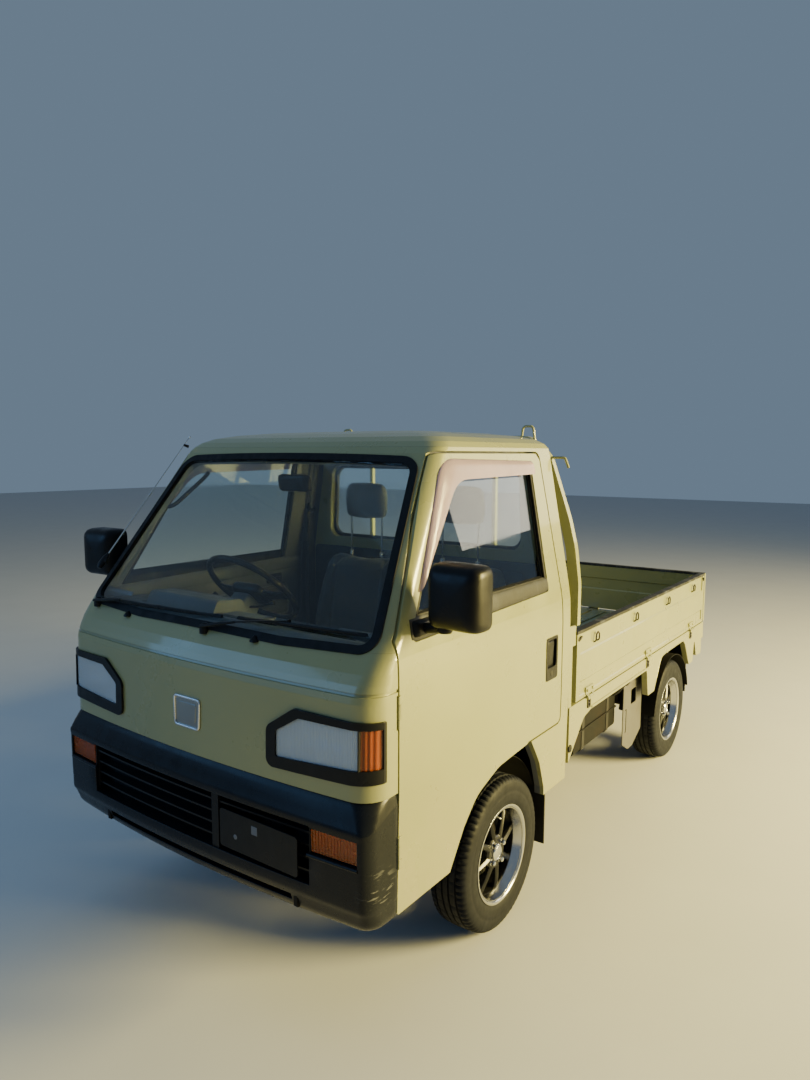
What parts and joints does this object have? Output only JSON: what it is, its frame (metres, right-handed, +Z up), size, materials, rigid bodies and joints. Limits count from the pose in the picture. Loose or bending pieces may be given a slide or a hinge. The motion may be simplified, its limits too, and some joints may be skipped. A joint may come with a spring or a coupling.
{
  "type": "kei truck",
  "caption": "A small khaki-olive kei truck with a flat-fronted cab, a rear guard frame and a drop-side load bed on small dark alloy wheels.",
  "frame": {"origin": "On the ground, under the middle of the overall length and width.", "axes": "+X to the truck's left, -Y to its front, +Z up."},
  "size_m": [1.794, 3.2931, 1.7689],
  "materials": {
    "olive_paint": "gloss khaki olive paint, chalky and scratched inside the bed",
    "chassis_steel": "dark grey paint with rust",
    "bare_steel": "bare dull steel with rust spots",
    "cast_alloy": "dark painted alloy with a bright rim lip",
    "black_plastic": "black moulded plastic, grained and scuffed",
    "grey_plastic": "grey interior plastic, grained",
    "amber_lamp": "amber lamp plastic",
    "red_lamp": "red lamp plastic",
    "clear_lamp": "clear fluted lamp glass over a bright bowl",
    "lamp_bowl": "bright reflector bowl",
    "window_glass": "clear window glass, faintly tinted",
    "seal_rubber": "black rubber",
    "tyre_rubber": "dusty black tyre rubber",
    "seat_cloth": "grey woven seat cloth"
  },
  "bodies": {
    "truck": {"chassis_frame": "chassis_steel", "cab_floor": "chassis_steel", "nose_panel": "olive_paint", "cab_frame": "olive_paint", "roof_panel": "olive_paint", "cab_rear_wall": "olive_paint", "window_glass": "window_glass", "glass_seals": "seal_rubber", "front_bumper": "black_plastic", "grille": "black_plastic", "headlamp_bezels": "black_plastic", "headlamps": "clear_lamp", "headlamp_bowls": "lamp_bowl", "turn_lamps": "amber_lamp", "wipers": "black_plastic", "dashboard": "grey_plastic", "steering_wheel": "black_plastic", "seats": "seat_cloth", "front_suspension": "chassis_steel", "engine_block": "cast_alloy", "rear_axle": "chassis_steel", "fuel_tank": "chassis_steel", "side_carrier": "bare_steel", "exhaust": "bare_steel", "mudflaps": "seal_rubber", "bed_floor": "olive_paint", "bed_skirts": "olive_paint", "guard_frame": "olive_paint", "tail_lamps": "red_lamp"},
    "tailgate": {"tailgate": "olive_paint"},
    "door_left": {"door_panel_left": "olive_paint", "door_glass_left": "window_glass", "door_trim_left": "black_plastic", "door_mirror_left": "black_plastic"},
    "side_gate_left": {"side_gate_left": "olive_paint"},
    "knuckle_left": {"knuckle_left": "chassis_steel"},
    "wheel_front_left": {"tyre_front_left": "tyre_rubber", "rim_front_left": "cast_alloy"},
    "wheel_rear_left": {"tyre_rear_left": "tyre_rubber", "rim_rear_left": "cast_alloy"},
    "door_right": {"door_panel_right": "olive_paint", "door_glass_right": "window_glass", "door_trim_right": "black_plastic", "door_mirror_right": "black_plastic"},
    "side_gate_right": {"side_gate_right": "olive_paint"},
    "knuckle_right": {"knuckle_right": "chassis_steel"},
    "wheel_front_right": {"tyre_front_right": "tyre_rubber", "rim_front_right": "cast_alloy"},
    "wheel_rear_right": {"tyre_rear_right": "tyre_rubber", "rim_rear_right": "cast_alloy"}
  },
  "joints": [
    {"name": "door_left_hinge", "type": "hinge", "parent": "truck", "child": "door_left", "pos_m": [0.6975, -1.4755, 0.76], "axis": [0, 0, -1], "range_deg": [0, 65]},
    {"name": "side_gate_left_hinge", "type": "hinge", "parent": "truck", "child": "side_gate_left", "pos_m": [0.699, 0.615, 0.659], "axis": [0, 1, 0], "range_deg": [0, 165]},
    {"name": "steer_left", "type": "hinge", "parent": "truck", "child": "knuckle_left", "pos_m": [0.56, -0.832, 0.18], "axis": [-0.2158, 0, 0.9764], "range_deg": [-35, 35]},
    {"name": "wheel_front_left_spin", "type": "hinge", "parent": "knuckle_left", "child": "wheel_front_left", "pos_m": [0.61, -0.832, 0.267], "axis": [1, 0, 0], "continuous": true},
    {"name": "wheel_rear_left_spin", "type": "hinge", "parent": "truck", "child": "wheel_rear_left", "pos_m": [0.61, 1.068, 0.267], "axis": [1, 0, 0], "continuous": true},
    {"name": "door_right_hinge", "type": "hinge", "parent": "truck", "child": "door_right", "pos_m": [-0.6975, -1.4755, 0.76], "axis": [0, 0, 1], "range_deg": [0, 65]},
    {"name": "side_gate_right_hinge", "type": "hinge", "parent": "truck", "child": "side_gate_right", "pos_m": [-0.699, 0.615, 0.659], "axis": [0, -1, 0], "range_deg": [0, 165]},
    {"name": "steer_right", "type": "hinge", "parent": "truck", "child": "knuckle_right", "pos_m": [-0.56, -0.832, 0.18], "axis": [0.2158, 0, 0.9764], "range_deg": [-35, 35]},
    {"name": "wheel_front_right_spin", "type": "hinge", "parent": "knuckle_right", "child": "wheel_front_right", "pos_m": [-0.61, -0.832, 0.267], "axis": [1, 0, 0], "continuous": true},
    {"name": "wheel_rear_right_spin", "type": "hinge", "parent": "truck", "child": "wheel_rear_right", "pos_m": [-0.61, 1.068, 0.267], "axis": [1, 0, 0], "continuous": true},
    {"name": "tailgate_hinge", "type": "hinge", "parent": "truck", "child": "tailgate", "pos_m": [0, 1.64, 0.659], "axis": [-1, 0, 0], "range_deg": [0, 165]}
  ],
  "couplings": [
    {"joint": "steer_right", "follows": "steer_left", "ratio": 1}
  ]
}
